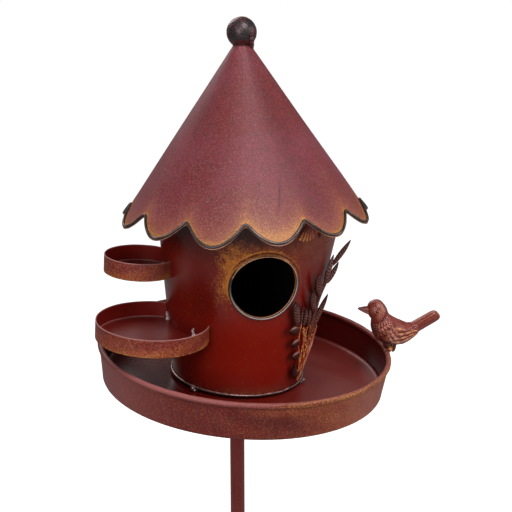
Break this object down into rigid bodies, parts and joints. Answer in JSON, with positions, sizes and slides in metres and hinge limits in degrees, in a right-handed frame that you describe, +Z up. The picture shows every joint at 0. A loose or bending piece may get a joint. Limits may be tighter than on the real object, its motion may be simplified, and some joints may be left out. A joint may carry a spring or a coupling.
{
  "type": "bird house with feeding tray on a garden stake",
  "caption": "Round tapered metal bird house with a scalloped cone roof, side dishes and a leaf spray, standing in a rimmed feeding tray on a slim pole, with a small bird on the rim.",
  "frame": {"origin": "centre of the pole's flat foot, at ground level", "axes": "+Z up along the pole, -Y towards the side that the entrance faces, +X to the right seen from the front"},
  "size_m": [0.3076, 0.2623, 1.0129],
  "materials": {
    "pole_paint": "dark maroon paint, half gloss",
    "tray_paint": "maroon paint rubbed to rust and gold along its edges",
    "wall_paint": "deep red paint, half gloss, rubbed gold in places",
    "roof_paint": "rose maroon paint, matt and speckled, gold along the scallops",
    "hem_iron": "dark iron, half bright",
    "ring_bronze": "dark bronze with bright worn edges",
    "ball_iron": "dark worn iron with maroon patches",
    "dish_paint": "dark maroon paint, rubbed gold at the foot",
    "leaf_bronze": "maroon paint rubbed to bronze on the ridges",
    "bird_paint": "maroon paint rubbed to gold on the feathers"
  },
  "bodies": {
    "root": {"pole": "pole_paint", "pole_socket": "pole_paint", "tray_floor": "tray_paint", "tray_wall": "tray_paint", "tray_rim": "tray_paint", "house_feet": "wall_paint", "house_floor": "wall_paint", "house_wall": "wall_paint", "foot_ring": "wall_paint", "entrance_ring": "ring_bronze", "roof_cone": "roof_paint", "roof_hem_wire": "hem_iron", "roof_tabs": "hem_iron", "finial_weld": "ball_iron", "finial_ball": "ball_iron", "lower_dish_floor": "dish_paint", "lower_dish_wall": "dish_paint", "lower_dish_welds": "dish_paint", "upper_dish_floor": "dish_paint", "upper_dish_wall": "dish_paint", "upper_dish_weld": "dish_paint", "spray_stems": "leaf_bronze", "spray_branch": "leaf_bronze", "spray_leaves_left": "leaf_bronze", "spray_leaves_middle": "leaf_bronze", "spray_leaves_right": "leaf_bronze", "spray_buds": "leaf_bronze", "eave_flower": "leaf_bronze", "bird_body": "bird_paint", "bird_beak": "bird_paint", "bird_wings": "bird_paint", "bird_tail": "bird_paint", "bird_legs": "bird_paint", "bird_feet": "bird_paint"}
  },
  "joints": []
}
